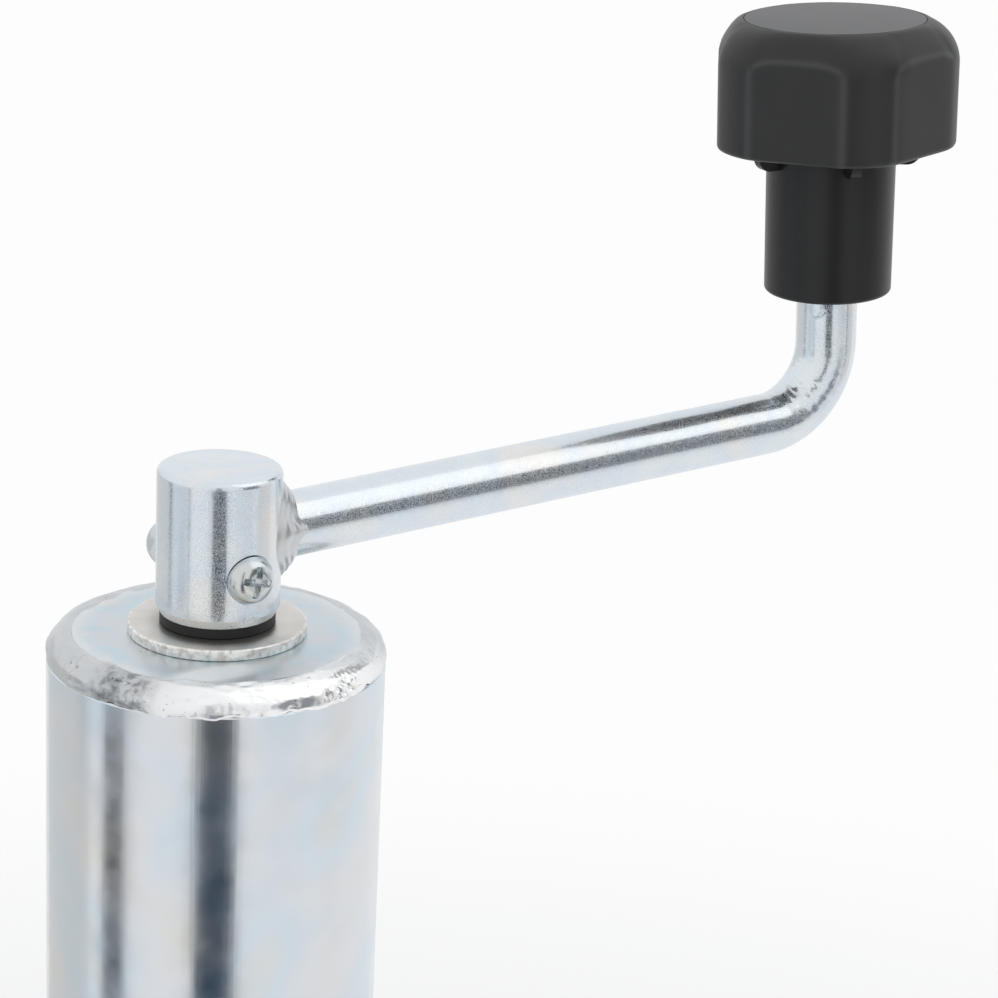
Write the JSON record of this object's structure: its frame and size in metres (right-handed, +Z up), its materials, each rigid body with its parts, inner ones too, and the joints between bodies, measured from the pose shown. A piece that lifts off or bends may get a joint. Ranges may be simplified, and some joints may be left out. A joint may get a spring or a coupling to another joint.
{
  "type": "jockey wheel",
  "caption": "Trailer jockey wheel: round steel tube with a hand crank and star knob on top, a screw that extends the inner tube, and a swivelling fork with a solid rubber wheel.",
  "frame": {"origin": "on the outer tube's axis at the middle of the tube, which is the clamp's seat", "axes": "+Z up along the tube towards the crank, +X along the crank arm, wheel wound right in and trailing towards -X"},
  "size_m": [0.2903, 0.101, 0.7049],
  "materials": {
    "tube_zinc": "drawn steel tube, bright zinc plated with a faint blue passivation",
    "plate_zinc": "turned steel, zinc plated, satin with faint blue and pink tints",
    "weld_bead": "arc weld bead, zinc plated over its ripples",
    "washer_steel": "plain steel washer, duller and warmer than the zinc",
    "crank_zinc": "bright steel bar and hub, zinc plated, smooth",
    "fastener_zinc": "zinc plated fasteners",
    "bearing_steel": "hardened ground bearing steel",
    "spindle_steel": "machined steel under a film of grease",
    "bronze_bush": "sintered bronze bush",
    "nylon_black": "black nylon ring and bushes",
    "knob_head_plastic": "moulded dark grey plastic, satin",
    "knob_sleeve_plastic": "moulded near-black plastic, satin",
    "fork_zinc": "pressed steel plate, zinc plated",
    "rim_zinc": "pressed steel rim halves, zinc plated",
    "tyre_rubber": "solid black rubber"
  },
  "bodies": {
    "outer_tube": {"outer_tube": "tube_zinc", "top_plate": "plate_zinc", "rim_weld_bead": "weld_bead", "top_bush": "bronze_bush", "top_washer": "washer_steel", "bearing_upper_race": "bearing_steel", "guide_pin": "fastener_zinc"},
    "crank": {"crank_hub": "crank_zinc", "hub_spacer_ring": "nylon_black", "crank_rod": "crank_zinc", "arm_weld_fillet": "weld_bead", "cross_screw": "fastener_zinc", "cross_nut": "fastener_zinc", "spindle": "spindle_steel", "spindle_collar": "spindle_steel", "collar_pin": "spindle_steel", "spindle_end_pin": "spindle_steel", "bearing_lower_race": "bearing_steel", "knob_retainer": "fastener_zinc"},
    "ball_cage": {"bearing_cage": "bronze_bush", "bearing_balls": "bearing_steel"},
    "knob": {"knob_sleeve": "knob_sleeve_plastic", "knob_head": "knob_head_plastic", "knob_cap": "knob_head_plastic"},
    "inner_tube": {"inner_tube": "tube_zinc", "spindle_nut": "spindle_steel", "foot_plug": "plate_zinc", "kingpin": "fastener_zinc"},
    "fork": {"fork_yoke": "fork_zinc", "swivel_washer": "nylon_black", "axle_bolt": "fastener_zinc", "axle_nut": "fastener_zinc", "axle_washers": "fastener_zinc"},
    "wheel": {"tyre": "tyre_rubber", "rim_half_left": "rim_zinc", "rim_half_right": "rim_zinc", "rim_bolts": "fastener_zinc", "wheel_hub_tube": "spindle_steel", "hub_bush_left": "nylon_black", "hub_bush_right": "nylon_black"}
  },
  "joints": [
    {"name": "crank_spin", "type": "hinge", "parent": "outer_tube", "child": "crank", "pos_m": [0, 0, 0.184], "axis": [0, 0, -1], "range_deg": [0, 16200]},
    {"name": "cage_spin", "type": "hinge", "parent": "outer_tube", "child": "ball_cage", "pos_m": [0, 0, 0.176], "axis": [0, 0, -1], "range_deg": [0, 8101]},
    {"name": "inner_slide", "type": "slide", "parent": "outer_tube", "child": "inner_tube", "axis": [0, 0, -1], "range_m": [0, 0.1802]},
    {"name": "knob_spin", "type": "hinge", "parent": "crank", "child": "knob", "pos_m": [0.13048, 0, 0.23514], "axis": [-0.068, 0, 0.9977], "continuous": true},
    {"name": "fork_swivel", "type": "hinge", "parent": "inner_tube", "child": "fork", "pos_m": [0, 0, -0.198], "axis": [0, 0, 1], "continuous": true},
    {"name": "wheel_spin", "type": "hinge", "parent": "fork", "child": "wheel", "pos_m": [-0.04, 0, -0.31576], "axis": [0, 1, 0], "continuous": true}
  ],
  "couplings": [
    {"joint": "inner_slide", "follows": "crank_spin", "m_per_rad": 0.00063662},
    {"joint": "cage_spin", "follows": "crank_spin", "ratio": 0.5}
  ]
}
